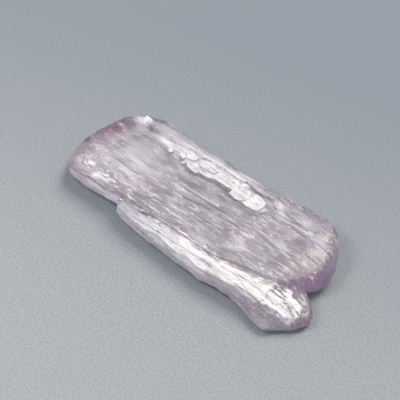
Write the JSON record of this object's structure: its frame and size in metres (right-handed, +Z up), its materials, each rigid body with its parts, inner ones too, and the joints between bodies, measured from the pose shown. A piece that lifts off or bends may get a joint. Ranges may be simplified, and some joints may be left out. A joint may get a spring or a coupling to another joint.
{
  "type": "kunzite crystal",
  "caption": "Flat striated see-through lilac crystal blade with a smaller blade grown along its front edge and white cleavage plates on the back ridge, lying on a flat face.",
  "frame": {"origin": "middle of the bounding box, on the surface that the crystal lies on", "axes": "+X along the striations towards the purple end, +Y towards the back ridge with the white plates, +Z up"},
  "size_m": [0.0558, 0.0238, 0.0066],
  "materials": {
    "kunzite": "satin"
  },
  "bodies": {
    "root": {"kunzite_crystal": "kunzite"}
  },
  "joints": []
}
